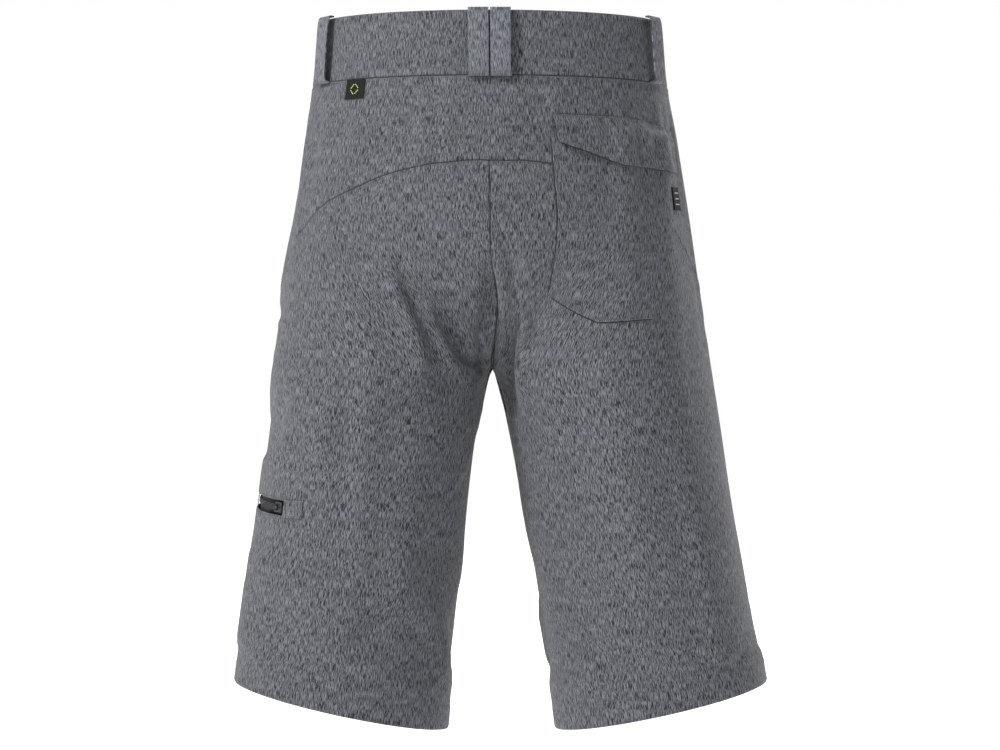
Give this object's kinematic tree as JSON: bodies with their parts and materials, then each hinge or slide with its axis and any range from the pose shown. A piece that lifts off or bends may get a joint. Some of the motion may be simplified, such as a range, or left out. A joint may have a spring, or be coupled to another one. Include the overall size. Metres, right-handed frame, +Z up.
{
  "type": "padded impact shorts",
  "caption": "Knee-length grey melange shorts with a seat yoke, belt loops, flapped back pocket, zipped leg pocket, snapped zip fly and soft pads inside",
  "frame": {"origin": "middle of the waist opening, level with the waistband top edge at the back and sides", "axes": "+X to the wearer's right, +Y to the wearer's front, +Z up"},
  "size_m": [0.4793, 0.257, 0.636],
  "materials": {
    "shell_cloth": "dark grey melange weave, matt, with fine light and dark vertical streaks",
    "loop_cloth": "the same melange weave folded double, a little lighter where it catches the light",
    "lining_cloth": "smooth plain lining, matt",
    "zip_tape": "black woven zip tape",
    "zip_coil": "black nylon coil",
    "zip_metal": "dark painted metal",
    "puller_cord": "black moulded puller",
    "grip_tape": "black hook-and-loop tape",
    "waist_label": "small black woven label with a plain green mark",
    "black_label": "small black woven label",
    "pad_foam": "soft closed-cell pad foam, dark blue-grey",
    "pad_mesh": "fine dark mesh"
  },
  "bodies": {
    "shell": {"back_panel_left": "shell_cloth", "back_panel_right": "shell_cloth", "back_pocket": "shell_cloth", "back_yoke": "shell_cloth", "belt_loop_back_left": "loop_cloth", "belt_loop_back_right": "loop_cloth", "belt_loop_front_left": "loop_cloth", "belt_loop_front_right": "loop_cloth", "belt_loop_side_left": "loop_cloth", "belt_loop_side_right": "loop_cloth", "fly_shield": "lining_cloth", "fly_zip_bottom_stop": "zip_metal", "fly_zip_coil_left": "zip_coil", "fly_zip_coil_right": "zip_coil", "fly_zip_tape_left": "zip_tape", "fly_zip_tape_right": "zip_tape", "front_panel_left": "shell_cloth", "front_panel_right": "shell_cloth", "hand_pocket_bag_left": "lining_cloth", "hand_pocket_bag_right": "lining_cloth", "hand_pocket_facing_left": "shell_cloth", "hand_pocket_facing_right": "shell_cloth", "hip_left_pad": "pad_foam", "hip_left_pad_sleeve": "pad_mesh", "hip_right_pad": "pad_foam", "hip_right_pad_sleeve": "pad_mesh", "leg_pocket_bag": "lining_cloth", "leg_zip_coil_lower": "zip_coil", "leg_zip_coil_upper": "zip_coil", "leg_zip_garage": "shell_cloth", "leg_zip_tape_lower": "zip_tape", "leg_zip_tape_upper": "zip_tape", "pocket_label": "black_label", "pocket_loop_tape": "grip_tape", "seat_pad": "pad_foam", "seat_pad_sleeve": "pad_mesh", "size_label": "black_label", "snap_post_lower": "zip_metal", "snap_post_upper": "zip_metal", "snap_stud_lower": "zip_metal", "snap_stud_upper": "zip_metal", "waist_label": "waist_label", "waistband": "shell_cloth", "waistband_facing": "lining_cloth"},
    "pocket_flap": {"pocket_flap": "shell_cloth", "flap_hook_tape": "grip_tape"},
    "closure_tab": {"closure_tab": "shell_cloth", "snap_cap_upper": "zip_metal", "snap_cap_lower": "zip_metal", "snap_socket_upper": "zip_metal", "snap_socket_lower": "zip_metal"},
    "fly_slider": {"fly_zip_slider": "zip_metal"},
    "fly_puller": {"fly_zip_puller": "puller_cord"},
    "leg_slider": {"leg_zip_slider": "zip_metal"},
    "leg_puller": {"leg_zip_puller": "puller_cord"}
  },
  "joints": [
    {"name": "pocket_flap_hinge", "type": "hinge", "parent": "shell", "child": "pocket_flap", "pos_m": [0.1232, -0.08192, -0.09028], "axis": [-0.7792, -0.6268, -0.0085], "range_deg": [0, 60], "stiffness_Nm_per_rad": 0.003, "springref_deg": -28.65},
    {"name": "closure_tab_hinge", "type": "hinge", "parent": "shell", "child": "closure_tab", "pos_m": [-0.01206, 0.111, -0.0464], "axis": [0.008, -0.0847, 0.9964], "range_deg": [0, 140]},
    {"name": "fly_zip_slide", "type": "slide", "parent": "shell", "child": "fly_slider", "axis": [0, 0.0611, -0.9981], "range_m": [0, 0.101]},
    {"name": "fly_puller_hinge", "type": "hinge", "parent": "fly_slider", "child": "fly_puller", "pos_m": [0, 0.11512, -0.08685], "axis": [1, 0, 0], "range_deg": [0, 120]},
    {"name": "leg_zip_slide", "type": "hinge", "parent": "shell", "child": "leg_slider", "pos_m": [-0.08508, -0.00783, -0.427], "axis": [0, 0.0748, -0.9972], "range_deg": [0, 67.8]},
    {"name": "leg_puller_hinge", "type": "hinge", "parent": "leg_slider", "child": "leg_puller", "pos_m": [-0.18736, -0.07972, -0.43211], "axis": [0.1037, 0.0005, 0.9946], "range_deg": [0, 120]}
  ]
}
